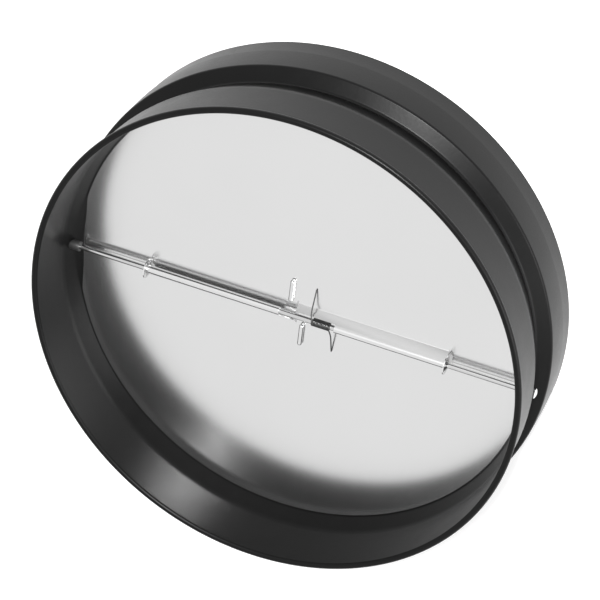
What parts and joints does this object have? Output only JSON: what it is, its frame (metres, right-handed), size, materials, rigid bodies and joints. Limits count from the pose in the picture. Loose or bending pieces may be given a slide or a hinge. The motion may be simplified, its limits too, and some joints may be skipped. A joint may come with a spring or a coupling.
{
  "type": "butterfly backdraft damper",
  "caption": "Round duct collar with a rolled rim and two spring-closed semicircular blades on one hinge rod; air passes one way only.",
  "frame": {"origin": "centre of the upstream rim, on the plane of that rim", "axes": "+Z along the duct, the way the air flows, out of the downstream mouth with the rolled rim; +X along the hinge rod; +Y towards the upper blade"},
  "size_m": [0.305, 0.305, 0.09],
  "materials": {
    "collar_coat": "satin black powder coat",
    "blade_sheet": "satin mill finish",
    "rod_steel": "drawn",
    "spring_steel": "oiled music wire",
    "bush_plastic": "matte",
    "nut_steel": "bright zinc",
    "pin_steel": "polished"
  },
  "bodies": {
    "collar_body": {"collar": "collar_coat", "hinge_rod": "rod_steel", "torsion_spring": "spring_steel", "left_bush": "bush_plastic", "right_bush": "bush_plastic", "left_push_nut": "nut_steel", "right_push_nut": "nut_steel"},
    "upper_flap": {"upper_blade": "blade_sheet", "upper_stop_pin": "pin_steel"},
    "lower_flap": {"lower_blade": "blade_sheet", "lower_stop_pin": "pin_steel"}
  },
  "joints": [
    {"name": "upper_hinge", "type": "hinge", "parent": "collar_body", "child": "upper_flap", "pos_m": [0, 0, 0.0492], "axis": [1, 0, 0], "range_deg": [0, 80], "stiffness_Nm_per_rad": 0.02, "springref_deg": -34.38, "deforming": ["torsion_spring"]},
    {"name": "lower_hinge", "type": "hinge", "parent": "collar_body", "child": "lower_flap", "pos_m": [0, 0, 0.0492], "axis": [-1, 0, 0], "range_deg": [0, 80], "stiffness_Nm_per_rad": 0.02, "springref_deg": -34.38, "deforming": ["torsion_spring"]}
  ]
}
